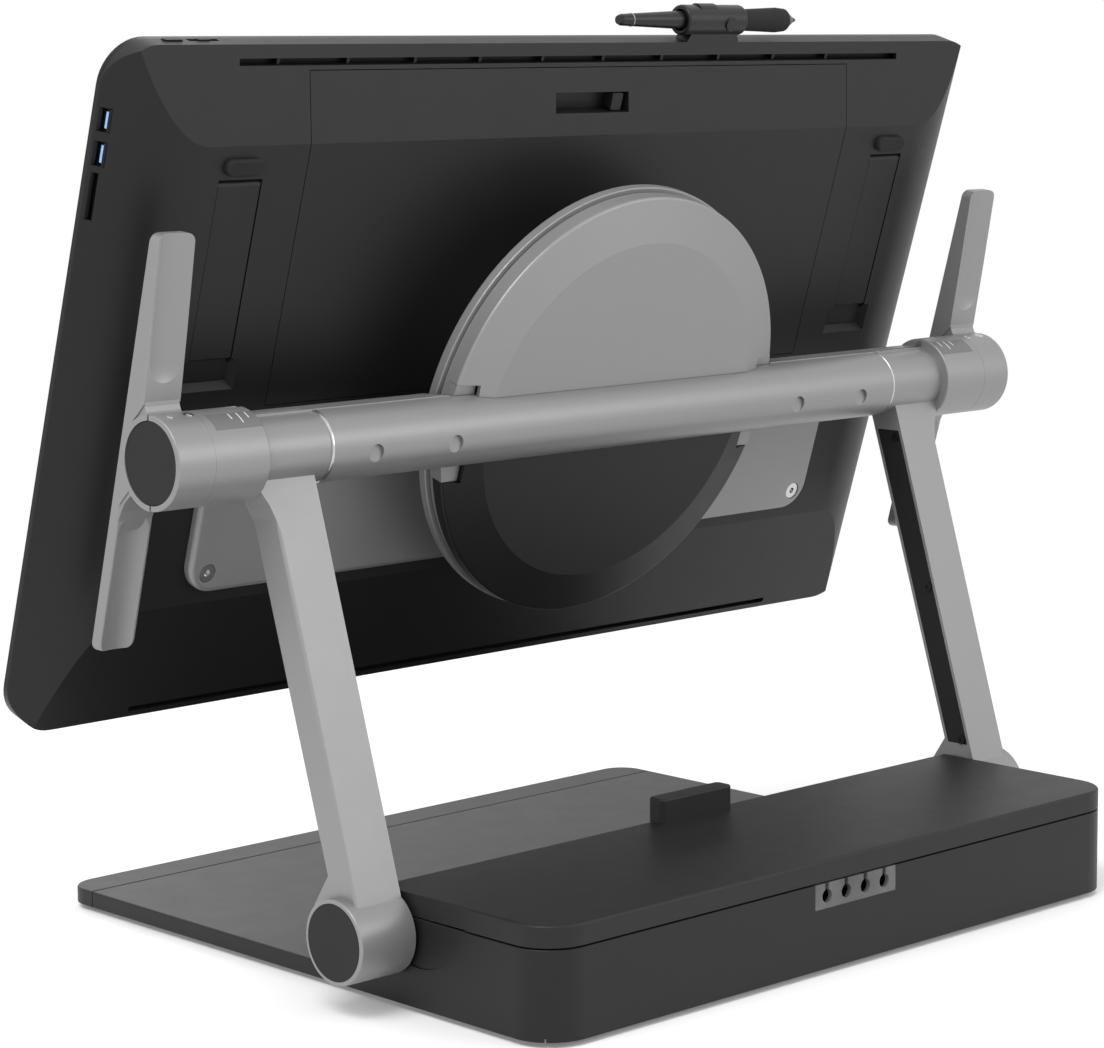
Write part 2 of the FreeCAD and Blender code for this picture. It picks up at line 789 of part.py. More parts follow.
def build_bar_end(side, sign):
    start = get("head_end") + 0.2
    stop = get("cap_start")
    end = get("sleeve_end")
    core = round_bar("EndCore" + side, sign, start, stop, BAR, get("sleeve_core"))
    rim = round_bar("EndRim" + side, sign, start, end, BAR, get("sleeve_radius"))
    rim = soften("EndRimSoft" + side, rim, 0.8, lambda e: abs(middle(e).x) > 333)
    rear_half = slab("EndRear" + side, sign, start - 1, end + 1, (BAR_Y - 0.1, 260), (BAR_Y + 30, 330))
    rear = meet("EndRearHalf" + side, rim, rear_half)
    cap_room = round_bar("CapRoom" + side, sign, stop, end + 1, BAR, get("sleeve_core") + 0.1)
    axle_hole = round_bar("AxleHole" + side, sign, start - 1, stop + 1, BAR, get("spigot_radius") + GAP)
    holes = [cap_room, axle_hole]
    for number, x in enumerate(END_SCREWS):
        holes.append(rod("EndScrewSeat%s%d" % (side, number), "z", (sign * x, BAR_Y + 6.8, 312), 2.3, 12))
    keep(minus("EndHub" + side, fuse("EndHubSolid" + side, [core, rear]), *holes), "end_hub_" + side)

    lever = Piece("LeverBar" + side)
    low, high = span(sign, get("lever_inner") + 0.2, end)
    outline = [
        (lever_front(190), 190),
        (lever_front(190) + 7.6, 190),
        (lever_front(272) + 7.6, 272),
        (2, 280),
        (2, 312),
        (17, 325.8),
        (24.8, 365),
        (34, 414),
        (lever_front(415), 415),
    ]
    lever.pad("YZ", low, high - low, outline)
    lever.round(5, lambda e: e.Length < 10 and (middle(e).z < 191 or middle(e).z > 413))
    lever.round(1.4, lambda e: e.Length > 70)
    centre = (low.value + high.value) / 2
    hollows = dish("LowDish" + side, centre, (lever_front(180) + 7.6, 180), (lever_front(255) + 7.6, 255))
    hollows += dish("TopDish" + side, centre, (36.0, 424.6), (21.0, 346))
    dished = minus("LeverDished" + side, lever.body, *hollows)
    roots = Piece("LeverRoots" + side)
    top_root = [(0, 310), (19.5, 317), (19.5, 320.7), (18.3, 321.8), (17.3, 324.6), (17.2, 328), (8, 330)]
    low_root = [
        (-13, 256),
        (lever_front(262) + 7.55, 262),
        (-6.7, 267.5),
        (-3.6, 272),
        (0.4, 275.6),
        (5, 278.4),
        (5, 284),
        (-10, 284),
    ]
    roots.pad("YZ", low + 0.8, high - low - 1.6, top_root, low_root)
    front_half = slab("LeverHalf" + side, sign, start - 1, end + 1, (BAR_Y - 30, 260), (BAR_Y - 1.6, 330))
    rim = round_bar("LeverRim" + side, sign, get("lever_inner") + 0.2, end, BAR, get("sleeve_radius"))
    ring = meet("LeverRing" + side, rim, front_half)
    hole = round_bar("LeverHole" + side, sign, 309, end + 1, BAR, get("sleeve_core") + 0.15)
    keep(minus("Lever" + side, fuse("LeverSolid" + side, [dished, roots.body, ring]), hole), "lever_" + side)


def lever_front(z):
    """Y of a lever's front face at a height."""
    return -36.4 + 0.282 * (z - 193.3)


def build_end_details():
    caps = []
    screws = []
    for side, sign in SIDES:
        cap = round_bar("EndCap" + side, sign, get("cap_start"), get("sleeve_end") - 0.4, BAR, get("sleeve_core"))
        caps.append(soften("EndCapSoft" + side, cap, 0.6, lambda e: abs(middle(e).x) > 333))
        for number, x in enumerate(END_SCREWS):
            screws.append(rod("EndScrew%s%d" % (side, number), "z", (sign * x, BAR_Y + 6.8, 312.2), 2.2, 7.6))
    keep(placed("EndCaps", caps), "end_caps")
    keep(placed("EndScrews", screws), "end_screws")


# ---------------------------------------------------------------- hub
def build_hub():
    front = get("ring_front")
    back = get("ring_back")
    plate_back = get("back_depth") + get("plate_thick")
    ring = rod("RingFlange", "z", (0, 0, front), get("ring_radius"), back - front)
    ring = soften("RingSoft", ring, 0.8, lambda e: True)
    neck = rod("RingNeck", "z", (0, 0, plate_back), get("neck_radius"), front - plate_back)
    bore = rod("RingBore", "z", (0, 0, 30), 34 + GAP, 50)
    keep(minus("HubRing", fuse("HubRingSolid", [ring, neck]), bore), "hub_ring", HUB)

    bearing = rod("BearingOuter", "z", (0, 0, 42), 34, 26)
    hole = rod("BearingBore", "z", (0, 0, 40), get("spindle_radius") + GAP, 30)
    keep(minus("HubBearing", bearing, hole), "hub_bearing", HUB)

    tube_y = get("hub_drop") - get("bar_drop")
    channel = rod("HubChannel", "x", (-140, tube_y, get("bar_depth")), get("bar_radius") + 0.2, 280)
    disc = rod("HousingDisc", "z", (0, 0, back + 0.4), 128.5, get("housing_back") - back - 0.4)
    spindle = rod("Spindle", "z", (0, 0, 41), get("spindle_radius"), 36)
    rim = rod("EarRim", "z", (0, 0, get("housing_back") - 1), get("hub_radius"), 8.8)
    ears = [slab("Ear" + side, sign, 113, 130, (-35, 78.5), (24, 88)) for side, sign in SIDES]
    lugs = [common("Lug" + side, rim, ear) for (side, sign), ear in zip(SIDES, ears)]
    solid = fuse("HousingSolid", [disc, spindle] + lugs)
    keep(minus("HubHousing", solid, channel), "hub_housing", HUB)

    flat = get("hub_flat_radius")
    rim_r = get("hub_radius")
    start = get("housing_back") + 0.1
    wall = 2.4
    dome = Piece("HubDome")
    dome.revolve([
        (0, get("hub_flat_depth")),
        (0, get("hub_flat_depth") - wall),
        (flat - 1, get("hub_flat_depth") - wall),
        (rim_r - wall, get("hub_rim_depth") - 1.8),
        (rim_r - wall, start),
        (rim_r, start),
        (rim_r, get("hub_rim_depth")),
        (flat, get("hub_flat_depth")),
    ])
    dome.round(1.5, lambda e: abs(middle(e).z - SIZES["hub_rim_depth"]) < TINY and edge_reach(e) > 129)
    dome.round(1.0, lambda e: abs(middle(e).z - SIZES["hub_flat_depth"]) < TINY and edge_reach(e) > 100)
    halves = (
        ("upper", (-140, tube_y + 0.1), (140, 140)),
        ("lower", (-140, -140), (140, tube_y - 0.1)),
    )
    for name, low, high in halves:
        region = block("HubRegion" + name, (low[0], low[1], 70), (high[0], high[1], 100))
        half = meet("HubHalf" + name, dome.body, region)
        tools = [rod("HubChannel" + name, "x", (-140, tube_y, get("bar_depth")), get("bar_radius") + 0.2, 280)]
        for side, sign in SIDES:
            tools.append(slab("EarRoom" + name + side, sign, 112.7, 131, (-35.3, 70), (24.3, 100)))
        keep(minus("HubCover" + name, half, *tools), "hub_cover_" + name, HUB)


def edge_reach(edge):
    """How far an edge's middle lies from the Z axis."""
    point = middle(edge)
    return math.hypot(point.x, point.y)


PLATE_SCREWS = [(x, y) for x in (-239.5, 239.5) for y in (-101.0, -24.0)]


def build_plate():
    low = get("back_depth")
    thick = get("plate_thick")
    half = get("plate_half")
    plate = Piece("MountPlate")
    plate.pad("XY", low, thick, rect(-half, get("plate_low"), half, get("plate_high")))
    plate.round(18, along("z"))
    plate.round(3.6, at_height(SIZES["back_depth"] + SIZES["plate_thick"]))
    disc = rod("PlateDisc", "z", (0, -get("hub_drop"), low), 85, thick)
    holes = []
    for number, (x, y) in enumerate(PLATE_SCREWS):
        holes.append(rod("PlateHole%d" % number, "z", (x, y, low - 1), 2.6, 6))
        holes.append(rod("PlateCounterbore%d" % number, "z", (x, y, low + 3), 5.6, 5))
    keep(minus("MountingPlate", fuse("PlateSolid", [plate.body, disc]), *holes), "mounting_plate", PANEL)
    screws = []
    for number, (x, y) in enumerate(PLATE_SCREWS):
        head = rod("PlateHead%d" % number, "z", (x, y, low + 3), 5.2, 2.4)
        shank = rod("PlateShank%d" % number, "z", (x, y, low), 2.4, 3.5)
        socket = rod("PlateSocket%d" % number, "z", (x, y, low + 4), 2, 3)
        screws.append(minus("PlateScrew%d" % number, fuse("PlateScrewSolid%d" % number, [head, shank]), socket))
    keep(placed("PlateScrews", screws, PANEL), "plate_screws", PANEL)


# ---------------------------------------------------------------- display housing
def outline_prism(name, inset, start, length, corner):
    """The screen's outline, drawn in by an inset, as a prism with round corners."""
    half = get("screen_width") / 2 - inset
    up = get("screen_height") / 2 - inset
    prism = Piece(name)
    prism.pad("XY", start, length, rect(-half, -up, half, up))
    prism.round(corner, along("z"))
    return prism


def housing_form(name, inset):
    """The display's rear body: flat back, sloping top and bottom, curved sides."""
    half = get("screen_width") / 2
    up = get("screen_height") / 2
    front = get("frame_depth") + 0.05
    back = get("back_depth") - inset
    lip = get("edge_depth") - 0.85 * inset
    section = Piece(name + "Section")
    section.pad("YZ", -half + inset, 2 * (half - inset), [
        (-up + inset, front),
        (up - inset, front),
        (up - inset, lip),
        (get("top_crease"), back),
        (-get("bottom_crease"), back),
        (-up + inset, lip),
    ])
    plan = Piece(name + "Plan")
    lip_x = half - get("side_lip_inset") - inset
    lip_z = get("side_lip_depth") - 0.4 * inset
    flat_x = half - get("side_flat_inset")
    bow = 5.4
    plan.pad("XZ", -up, 2 * up, [
        (-half + inset, front),
        (half - inset, front),
        (lip_x, lip_z, bow),
        (flat_x, back),
        (-flat_x, back, bow),
        (-lip_x, lip_z),
    ])
    round_outline = outline_prism(name + "Outline", inset, front, 40, get("screen_corner") - inset)
    return meet(name, section.body, plan.body, round_outline.body)


COVER_HALF = 215.0
COVER_LOW = -5.0
COVER_HIGH = 184.0
LEG_INNER = get("leg_inner")
LEG_OUTER = get("leg_outer")
LATCH = ((-34.3, 158.6), (24.2, 170.0))
VENT_HALF = 262.0


def build_housing():
    outer = housing_form("Outer", 0)
    inner = housing_form("Inner", get("shell_wall"))
    shell = minus("Shell", outer, inner)
    wall = 6.0
    play = 0.2
    bays = []
    bay_rooms = []
    for side, sign in SIDES:
        low = (get("leg_low") - wall, 20.6)
        high = (get("leg_high") + wall, 30)
        bays.append(slab("Bay" + side, sign, LEG_INNER - wall, LEG_OUTER + wall, low, high))
        low = (get("leg_low") - play, 22.8)
        high = (get("leg_high") + play, 40)
        bay_rooms.append(slab("BayRoom" + side, sign, LEG_INNER - play, LEG_OUTER + play, low, high))
        notch = Piece("BayNotch" + side)
        near, far = span(sign, LEG_INNER - 4.6, LEG_OUTER + 4.6)
        notch.pad("XY", 26.2, 10, rect(near, get("leg_low") - 4.8, far, get("leg_low") + 13))
        notch.bevel(4.6, at_height(26.2))
        bay_rooms.append(notch.body)
    opening = block("CoverOpening", (-COVER_HALF, COVER_LOW, 12), (COVER_HALF, COVER_HIGH, 40))
    # side ports, card slot, buttons and vents
    tools = [opening] + bay_rooms
    for number, (low, high) in enumerate(((148, 161), (129.5, 143))):
        tools.append(block("UsbRoom%d" % number, (-340, low, 4.5), (-326, high, 9.6)))
    tools.append(block("CardRoom", (-340, 100, 5), (-326, 126, 8)))
    tools.append(block("PowerRoom", (-306.3, 190, 4.7), (-293.7, 200, 9.3)))
    tools.append(block("SwitchRoom", (-290, 190, 5.2), (-270, 200, 8.8)))
    tools.append(block("LowVent", (-VENT_HALF, -193.5, 8), (VENT_HALF, -190, 30)))
    tools.append(block("TopVent", (-VENT_HALF, 186.2, 8), (VENT_HALF, 190, 30)))
    cover = minus("RearCover", fuse("ShellWithBays", [shell] + bays), *tools)
    keep(cover, "rear_cover", PANEL)

    panel = block("CoverArea", (-COVER_HALF + 0.5, COVER_LOW + 0.5, 12), (COVER_HALF - 0.5, COVER_HIGH - 0.5, 40))
    plate = common("CoverPlate", shell, panel)
    (x0, y0), (x1, y1) = LATCH
    pocket = meet("LatchPocket", outer, block("LatchWalls", (x0 - 2, y0 - 2, 14.6), (x1 + 2, y1 + 2, 40)))
    room = block("LatchRoom", (x0, y0, 16.6), (x1, y1, 40))
    keep(minus("CentreCover", fuse("CoverSolid", [plate, pocket]), room), "centre_cover", PANEL)
    latch = Piece("Latch")
    latch.pad("XY", 16.7, 8.0, rect(11, y0 + 0.6, 19, y1 - 0.6))
    latch.round(1.2, along("z"))
    latch.done("cover_latch", PANEL)

    frame_ring = outline_prism("MidFrame", 0, 0, get("frame_depth"), get("screen_corner"))
    glass_room = outline_prism("GlassRoom", get("glass_margin"), -1, get("glass_thick") + 1, 22)
    lcd_room = outline_prism("LcdRoom", 9, 0, 5, 16)
    keep(minus("Frame", frame_ring.body, glass_room.body, lcd_room.body), "mid_frame", PANEL)
    glass = outline_prism("Glass", get("glass_margin") + 0.1, 0, get("glass_thick") - 0.05, 21.9)
    glass.done("front_glass", PANEL)
    keep(placed("Lcd", [block("LcdBlock", (-318, -184, 1.7), (318, 184, 8))], PANEL), "lcd_panel", PANEL)
    keep(placed("Board", [block("BoardBlock", (-150, -70, 14), (150, 60, 15.6))], PANEL), "main_board", PANEL)

    pads = []
    for side, sign in SIDES:
        pad = Piece("RearPad" + side)
        low, high = span(sign, 246.4, 271)
        pad.pad("XY", get("back_depth"), 3.6, rect(low, 130.4, high, 139.4))
        pad.round(4.2, along("z"))
        pad.round(1.2, at_height(SIZES["back_depth"] + 3.6))
        pads.append(pad.body)
    keep(placed("RearPads", pads, PANEL), "rear_pads", PANEL)

    ribs = [block("TopGrille", (-VENT_HALF - 2, 184.4, 10), (VENT_HALF + 2, 191.6, 12))]
    ribs.append(block("LowGrille", (-VENT_HALF - 2, -194.2, 10), (VENT_HALF + 2, -188.4, 11.6)))
    for number in range(10):
        x = -VENT_HALF + 26 + 48 * number
        ribs.append(block("TopRib%d" % number, (x, 186.4, 12), (x + 2, 189.8, 16.4)))
    keep(fuse("VentGrilles", ribs), "vent_grilles", PANEL)


def build_ports():
    shells = []
    tongues = []
    for number, (low, high) in enumerate(((148, 161), (129.5, 143))):
        case = block("UsbCase%d" % number, (-334, low + 0.3, 4.8), (-321, high - 0.3, 9.3))
        room = block("UsbHollow%d" % number, (-335, low + 0.8, 5.3), (-323, high - 0.8, 8.8))
        shells.append(minus("Usb%d" % number, case, room))
        tongues.append(block("Tongue%d" % number, (-333.6, low + 2, 6.2), (-323, high - 2, 8.1)))
    case = block("CardCase", (-333, 100.4, 5.1), (-321, 125.6, 7.9))
    room = block("CardHollow", (-335, 101.4, 5.9), (-323, 124.6, 7.1))
    shells.append(minus("CardSlot", case, room))
    keep(placed("Ports", shells, PANEL), "side_ports", PANEL)
    keep(placed("Tongues", tongues, PANEL), "port_tongues", PANEL)
    button = Piece("PowerButton")
    button.pad("XY", 5, 4, rect(-306, 192.4, -294, 197.9))
    button.round(1.6, along("y"))
    button.done("power_button", PANEL)
    switch = Piece("TouchSwitch")
    switch.pad("XY", 5.5, 3, rect(-284, 192.4, -276, 197.8))
    switch.round(1.0, along("y"))
    switch.done("touch_switch", PANEL)


def build_leg(side, sign):
    low = get("leg_low")
    hinge_y = get("leg_high") - 3.9
    leg = Piece("Leg" + side)
    near, far = span(sign, LEG_INNER, LEG_OUTER)
    outline = [
        (low, 23.2),
        (hinge_y, 23.2, 3.4),
        (hinge_y, 30.8),
        (low + 14, 30.8),
        (low + 12, 27.4),
        (low, 27.4),
    ]
    leg.pad("YZ", near, far - near, outline)
    leg.round(1.0, lambda e: e.Length > 60 and middle(e).z > 30)
    hole = round_bar("LegHole" + side, sign, LEG_INNER - 1, LEG_OUTER + 1, (hinge_y, 27), 1.5 + GAP)
    keep(minus("LegDone" + side, leg.body, hole), "leg_" + side, PANEL)


def build_leg_pins():
    hinge_y = get("leg_high") - 3.9
    end_play = 0.15
    pins = []
    for side, sign in SIDES:
        inner = LEG_INNER - end_play
        outer = LEG_OUTER + end_play
        pins.append(round_bar("LegPin" + side, sign, inner, outer, (hinge_y, 27), 1.5))
    keep(placed("LegPins", pins, PANEL), "leg_pins", PANEL)


# ---------------------------------------------------------------- pen and holder
PEN = PANEL.multiply(FreeCAD.Placement(
    V(0, SIZES["pen_y"], SIZES["pen_depth"]), FreeCAD.Rotation(V(0, 1, 0), 90)))


def build_pen():
    tail = get("pen_tail")
    tip = get("pen_tip")
    barrel = Piece("PenBarrel")
    barrel.revolve([(0, tail), (2.6, tail), (3.4, tail + 2), (5.2, tail + 45), (6.0, 100), (6.3, 115.9), (0, 115.9)])
    barrel.done("pen_barrel", PEN)
    grip = Piece("PenGrip")
    grip.revolve([(0, 116), (6.3, 116), (6.9, 134), (7.5, 150), (6.9, 156.9), (0, 156.9)])
    grip.done("pen_grip", PEN)
    nib = Piece("PenTip")
    nib.revolve([(0, 157), (6.6, 157), (2.0, tip - 3), (0.9, tip), (0, tip)])
    nib.done("pen_tip", PEN)

    y = get("pen_y")
    depth = get("pen_depth")
    foot = Piece("HolderFoot")
    foot.pad("XY", depth - 5, 10, [(73, 197.05), (117, 197.05), (112, 206), (78, 206)])
    clip = rod("HolderClip", "x", (68, y, depth), 9, 50)
    clip = soften("HolderClipSoft", clip, 1.4, lambda e: True)
    bump = rod("HolderBump", "x", (80, y + 4, depth), 6, 14)
    stud = rod("HolderStud", "z", (103, y, depth), 4.2, 10)
    hole = rod("HolderBore", "x", (60, y, depth), 6.6, 70)
    solid = fuse("HolderSolid", [foot.body, clip, bump, stud])
    keep(minus("PenHolder", solid, hole), "pen_holder", PANEL)


build_base()
build_lid()
for SIDE, SIGN in SIDES:
    build_arm(SIDE, SIGN)
build_arm_details()
build_crossbar()
for SIDE, SIGN in SIDES:
    build_bar_end(SIDE, SIGN)
build_end_details()
build_hub()
build_plate()
build_housing()
build_ports()
for SIDE, SIGN in SIDES:
    build_leg(SIDE, -SIGN)
build_leg_pins()
build_pen()

# ---------------------------------------------------------------- checks and export
doc.recompute()
for thing in doc.Objects:
    if "Invalid" in thing.State or "Error" in thing.State:
        raise RuntimeError("%s failed: %s" % (thing.Name, thing.State))
for node in NODES:
    if node.Shape.isNull() or not node.Shape.isValid() or not node.Shape.Solids:
        raise RuntimeError("%s has no valid solid" % node.Label)

os.makedirs("parts", exist_ok=True)
for node in NODES:
    node.Shape.exportStep("parts/%s.step" % node.Label)
print("%d nodes written" % len(NODES))
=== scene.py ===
"""Looks for the pen display on its two-arm stand: materials, small parts, floor, lights, camera.

Everything is in metres in the model's own frame: +Z up, X along the crossbar, the screen faces -Y.
"""
import json
import math

import bmesh
import bpy
from mathutils import Matrix, Vector


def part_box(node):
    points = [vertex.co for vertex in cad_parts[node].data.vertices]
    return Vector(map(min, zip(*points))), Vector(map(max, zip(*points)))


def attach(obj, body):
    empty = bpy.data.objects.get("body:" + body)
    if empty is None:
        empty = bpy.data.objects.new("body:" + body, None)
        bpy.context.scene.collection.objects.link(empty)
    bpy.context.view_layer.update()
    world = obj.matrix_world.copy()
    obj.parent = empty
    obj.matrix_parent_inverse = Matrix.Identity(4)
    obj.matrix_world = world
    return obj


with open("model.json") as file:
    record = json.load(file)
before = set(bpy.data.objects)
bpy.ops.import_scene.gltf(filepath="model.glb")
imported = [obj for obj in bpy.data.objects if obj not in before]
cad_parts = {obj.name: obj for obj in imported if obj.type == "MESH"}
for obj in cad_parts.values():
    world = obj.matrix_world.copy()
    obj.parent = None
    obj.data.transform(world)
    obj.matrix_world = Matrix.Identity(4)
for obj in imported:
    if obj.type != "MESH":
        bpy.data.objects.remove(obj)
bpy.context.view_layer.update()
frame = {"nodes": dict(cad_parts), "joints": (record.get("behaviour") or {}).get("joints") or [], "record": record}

MM = 0.001
HEAD_RADIUS = 25.3 * MM                # the arm heads and the sleeves at the crossbar's ends
TUBE_END = 227.6 * MM                  # where the turned rims sit on the crossbar's middle tube
ACTIVE_HALF = (261.2 * MM, 147.0 * MM)  # half the screen's active area, across and up
FLOOR_HALF = 40.0
FLOOR_DROP = 0.2 * MM

CAMERA_SPOT = (1.33096, 1.3888, 0.50199)
CAMERA_BACK = (0.6769, 0.7224, 0.1413)
CAMERA_ROLL = -0.5
CAMERA_LENS = 106.8
CAMERA_SENSOR = 36.0
SHARP_ANGLE = 28

scene = bpy.context.scene
NODES = frame["nodes"]


# ---------------------------------------------------------------- places taken from the frame
def joint(name):
    """One joint of the frame by its name."""
    return next(j for j in frame["joints"] if j["name"] == name)


BAR = Vector(joint("screen_tilt")["pos_m"])
PANEL_BACK = Vector(joint("screen_turn")["axis"])
PANEL_UP = -Vector(joint("power_press")["axis"])


def glass_centre():
    """The middle of the screen's front face, worked out from the glass's own corners."""
    mesh = NODES["front_glass"].data
    depth = min(v.co.dot(PANEL_BACK) for v in mesh.vertices)
    ups = [v.co.dot(PANEL_UP) for v in mesh.vertices]
    middle = (min(ups) + max(ups)) / 2
    return PANEL_UP * middle + PANEL_BACK * depth


SCREEN = glass_centre()


# ---------------------------------------------------------------- node graphs
class Graph:
    """A short way to write a material's node graph."""

    def __init__(self, name):
        self.material = bpy.data.materials.new(name)
        self.material.use_nodes = True
        self.tree = self.material.node_tree
        self.shader = self.tree.nodes["Principled BSDF"]
        self.place = self.add("ShaderNodeTexCoord").outputs["Object"]

    def add(self, kind, **settings):
        node = self.tree.nodes.new(kind)
        for key, value in settings.items():
            setattr(node, key, value)
        return node

    def link(self, source, target):
        if isinstance(source, bpy.types.NodeSocket):
            self.tree.links.new(source, target)
        else:
            target.default_value = source

    def noise(self, scale, detail=2.0, rough=0.5, vector=None):
        node = self.add("ShaderNodeTexNoise")
        self.link(vector or self.place, node.inputs["Vector"])
        node.inputs["Scale"].default_value = scale
        node.inputs["Detail"].default_value = detail
        node.inputs["Roughness"].default_value = rough
        return node.outputs["Fac"]

    def maths(self, operation, a, b=0.0, clamp=False):
        node = self.add("ShaderNodeMath", operation=operation, use_clamp=clamp)
        self.link(a, node.inputs[0])
        self.link(b, node.inputs[1])
        return node.outputs[0]

    def spread(self, value, low, high, to_low, to_high):
        node = self.add("ShaderNodeMapRange")
        for socket, number in zip(node.inputs[0:5], (value, low, high, to_low, to_high)):
            self.link(number, socket)
        return node.outputs[0]

    def mix(self, amount, a, b):
        node = self.add("ShaderNodeMix", data_type="RGBA")
        self.link(amount, node.inputs["Factor"])
        self.link(a, node.inputs["A"])
        self.link(b, node.inputs["B"])
        return node.outputs["Result"]

    def dot(self, direction):
        node = self.add("ShaderNodeVectorMath", operation="DOT_PRODUCT")
        self.link(self.place, node.inputs[0])
        node.inputs[1].default_value = direction
        return node.outputs["Value"]

    def stretch(self, scale):
        node = self.add("ShaderNodeMapping")
        self.link(self.place, node.inputs["Vector"])
        node.inputs["Scale"].default_value = scale
        return node.outputs["Vector"]

    def edges(self, radius):
        """About 1 along sharp edges and 0 on open faces."""
        bevel = self.add("ShaderNodeBevel", samples=4)
        bevel.inputs["Radius"].default_value = radius
        shape = self.add("ShaderNodeNewGeometry")
        dot = self.add("ShaderNodeVectorMath", operation="DOT_PRODUCT")
        self.link(bevel.outputs["Normal"], dot.inputs[0])
        self.link(shape.outputs["Normal"], dot.inputs[1])
        return self.spread(dot.outputs["Value"], 0.995, 0.86, 0.0, 1.0)

    def bump(self, height, strength, distance):
        node = self.add("ShaderNodeBump")
        self.link(height, node.inputs["Height"])
        node.inputs["Strength"].default_value = strength
        node.inputs["Distance"].default_value = distance
        self.link(node.outputs["Normal"], self.shader.inputs["Normal"])

    def set(self, **values):
        for key, value in values.items():
            self.link(value, self.shader.inputs[key.replace("_", " ")])


def grey(level, tint=0.0):
    """A neutral colour, a little blue where tint is above zero."""
    return (level, level, level * (1 + tint), 1.0)


def textured_plastic(name, level, rough, grain=900.0, tint=0.02, wear=0.35, sheen=0.0):
    """Moulded plastic with a fine spark-eroded grain, faint handling marks and polished edges."""
    g = Graph(name)
    cloud = g.noise(9.0, 3.0)
    marks = g.noise(60.0, 4.0, 0.6)
    fine = g.noise(grain, 2.0, 0.6)
    patches = g.spread(marks, 0.4, 0.65, 0.2, 1.0)
    worn = g.maths("MULTIPLY", g.edges(0.7 * MM), patches)
    shade = g.mix(cloud, grey(level * 0.97, tint), grey(level * 1.03, tint))
    shade = g.mix(g.maths("MULTIPLY", worn, wear), shade, grey(level * 2.6 + 0.006, tint))
    base_rough = g.spread(marks, 0.3, 0.7, rough - 0.015, rough + 0.02)
    g.set(Base_Color=shade, Roughness=g.maths("SUBTRACT", base_rough, g.maths("MULTIPLY", worn, 0.12)))
    g.set(Specular_IOR_Level=0.30, Coat_Weight=sheen, Coat_Roughness=0.35)
    g.bump(fine, 0.22, 0.12 * MM)
    return g.material


def satin_metal(name, level, rough=0.42, metallic=0.45, wear=0.45, brushed=None):
    """Bead-blasted, painted or brushed metal with bright edges."""
    g = Graph(name)
    cloud = g.noise(14.0, 3.0)
    marks = g.noise(90.0, 4.0, 0.6)
    place = g.stretch(brushed) if brushed else None
    fine = g.noise(1.0 if brushed else 1600.0, 3.0, 0.6, place)
    patches = g.spread(marks, 0.38, 0.6, 0.35, 1.0)
    worn = g.maths("MULTIPLY", g.edges(0.6 * MM), patches)
    shade = g.mix(cloud, grey(level * 0.985, 0.006), grey(level * 1.015, 0.006))
    bright = grey(min(level * 1.8, 0.9))
    shade = g.mix(g.maths("MULTIPLY", worn, wear), shade, bright)
    rough_map = g.spread(marks, 0.3, 0.7, rough - 0.012, rough + 0.018)
    g.set(Base_Color=shade, Roughness=g.maths("SUBTRACT", rough_map, g.maths("MULTIPLY", worn, 0.1)))
    g.set(Metallic=metallic)
    g.bump(fine, 0.15, 0.06 * MM)
    return g.material


def soft_rubber(name, level, tint=0.0):
    """Matte rubber with a dusty bloom."""
    g = Graph(name)
    bloom = g.noise(40.0, 4.0, 0.65)
    fine = g.noise(1300.0, 2.0)
    dust = g.spread(bloom, 0.35, 0.7, 0.0, 1.0)
    shade = g.mix(dust, grey(level, tint), grey(level * 1.5 + 0.004, tint))
    g.set(Base_Color=shade, Roughness=g.spread(bloom, 0.3, 0.7, 0.72, 0.88), Specular_IOR_Level=0.3)
    g.bump(fine, 0.3, 0.1 * MM)
    return g.material


def etched_glass(name):
    """Front glass, screen off: a slightly lighter active area inside a black printed border."""
    g = Graph(name)
    centre_up = SCREEN.dot(PANEL_UP)
    across = g.maths("ABSOLUTE", g.dot((1, 0, 0)))
    up = g.maths("ABSOLUTE", g.maths("SUBTRACT", g.dot(PANEL_UP), centre_up))
    inside_across = g.maths("LESS_THAN", across, ACTIVE_HALF[0])
    inside_up = g.maths("LESS_THAN", up, ACTIVE_HALF[1])
    inside = g.maths("MULTIPLY", inside_across, inside_up)
    smudge = g.noise(22.0, 5.0, 0.7)
    active = g.mix(smudge, (0.012, 0.013, 0.016, 1), (0.018, 0.019, 0.023, 1))
    border = g.mix(smudge, (0.004, 0.004, 0.005, 1), (0.007, 0.007, 0.008, 1))
    g.set(Base_Color=g.mix(inside, border, active), Roughness=g.spread(smudge, 0.3, 0.7, 0.16, 0.30))
    g.set(IOR=1.5, Coat_Weight=0.3, Coat_Roughness=0.12)
    g.bump(g.noise(2400.0, 1.0), 0.08, 0.03 * MM)
    return g.material


def glossy_blue(name):
    """The moulded tongues of the USB sockets."""
    g = Graph(name)
    cloud = g.noise(180.0, 2.0)
    shade = g.mix(cloud, (0.26, 0.47, 0.80, 1), (0.36, 0.58, 0.90, 1))
    g.set(Base_Color=shade, Roughness=g.spread(cloud, 0.3, 0.7, 0.3, 0.42))
    g.bump(g.noise(1500.0), 0.1, 0.05 * MM)
    return g.material


def circuit_board(name):
    """Green solder mask over a net of tracks."""
    g = Graph(name)
    tracks = g.add("ShaderNodeTexBrick")
    g.link(g.place, tracks.inputs["Vector"])
    tracks.inputs["Scale"].default_value = 140.0
    shade = g.mix(tracks.outputs["Fac"], (0.012, 0.10, 0.05, 1), (0.03, 0.2, 0.09, 1))
    g.set(Base_Color=shade, Roughness=g.spread(g.noise(80.0), 0.3, 0.7, 0.35, 0.5))
    g.bump(tracks.outputs["Fac"], 0.3, 0.05 * MM)
    return g.material


